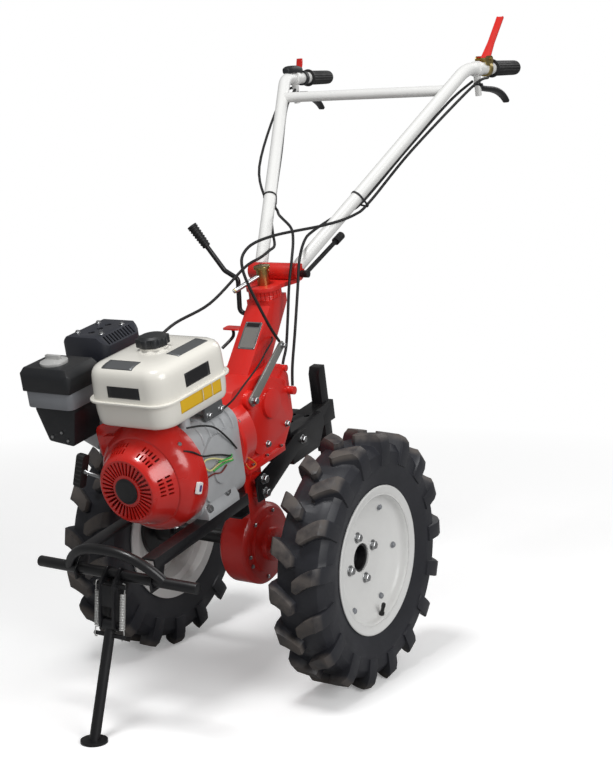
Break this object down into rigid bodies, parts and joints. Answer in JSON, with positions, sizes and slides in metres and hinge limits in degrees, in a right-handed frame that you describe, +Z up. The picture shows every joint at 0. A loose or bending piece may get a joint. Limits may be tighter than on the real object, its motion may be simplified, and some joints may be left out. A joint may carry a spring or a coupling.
{
  "type": "walking tractor",
  "caption": "Two-wheeled walking tractor with lugged tyres, an air-cooled engine over a drive casing, a swivelling handlebar, front stand and rear hitch; parked on its stand.",
  "frame": {"origin": "on the ground, at the centre of the parked machine's bounding box", "axes": "+X forward, +Y to the machine's left, +Z up"},
  "size_m": [1.4917, 0.722, 1.5855],
  "materials": {
    "red_paint": "gloss",
    "white_paint": "gloss",
    "black_paint": "satin",
    "black_plastic": "satin",
    "black_rubber": "matte",
    "tyre_rubber": "matte",
    "cast_grey": "cast",
    "grey_plastic": "satin",
    "bare_steel": "satin",
    "zinc_plate": "yellow zinc"
  },
  "bodies": {
    "chassis": {"final_drive": "red_paint", "gearbox": "red_paint", "column": "red_paint", "fan_shroud": "red_paint", "recoil_cover": "red_paint", "fuel_tank": "white_paint", "recoil_cap": "black_paint", "muffler": "black_paint", "muffler_guard": "black_paint", "frame_rails": "black_paint", "bumper_bar": "black_paint", "bumper_hoop": "black_paint", "stand_bracket": "black_paint", "hitch_bracket": "black_paint", "depth_stake": "black_paint", "gear_lever": "black_paint", "fuel_cap": "black_plastic", "air_cleaner_cover": "black_plastic", "intake_elbow": "black_plastic", "gear_lever_grip": "black_rubber", "clutch_cable": "black_rubber", "left_turn_cable": "black_rubber", "right_turn_cable": "black_rubber", "throttle_cable": "black_rubber", "engine_block": "cast_grey", "air_cleaner_base": "grey_plastic", "air_knob": "bare_steel", "clutch_arm": "bare_steel"},
    "handlebar": {"yoke": "red_paint", "lock_bolt": "zinc_plate", "tilt_lever": "black_paint", "handle_tubes": "white_paint", "handle_cross": "white_paint", "grips": "black_rubber", "hand_levers": "black_paint", "clutch_lever": "red_paint", "throttle_lever": "black_paint"},
    "stand": {"stand_leg": "black_paint"},
    "stand_spring_pair": {"stand_springs": "bare_steel"},
    "left_wheel": {"left_tyre": "tyre_rubber", "left_rim": "white_paint", "left_hub": "black_paint"},
    "right_wheel": {"right_tyre": "tyre_rubber", "right_rim": "white_paint", "right_hub": "black_paint"}
  },
  "joints": [
    {"name": "left_wheel_spin", "type": "hinge", "parent": "chassis", "child": "left_wheel", "pos_m": [0.10881, 0.293, 0.296], "axis": [0, 1, 0], "continuous": true},
    {"name": "right_wheel_spin", "type": "hinge", "parent": "chassis", "child": "right_wheel", "pos_m": [0.10881, -0.293, 0.296], "axis": [0, 1, 0], "continuous": true},
    {"name": "stand_fold", "type": "hinge", "parent": "chassis", "child": "stand", "pos_m": [0.65159, 0, 0.23788], "axis": [0, 1, 0], "range_deg": [0, 95], "deforming": ["stand_springs"]},
    {"name": "stand_spring_swing", "type": "hinge", "parent": "chassis", "child": "stand_spring_pair", "pos_m": [0.64928, 0, 0.32322], "axis": [0, 1, 0], "range_deg": [0, 17]},
    {"name": "handlebar_swivel", "type": "hinge", "parent": "chassis", "child": "handlebar", "pos_m": [0.04936, 0, 0.89648], "axis": [0.2079, 0, 0.9781], "range_deg": [-30, 30], "deforming": ["clutch_cable", "left_turn_cable", "right_turn_cable", "throttle_cable"]}
  ],
  "couplings": [
    {"joint": "stand_spring_swing", "follows": "stand_fold", "ratio": 0.174}
  ]
}
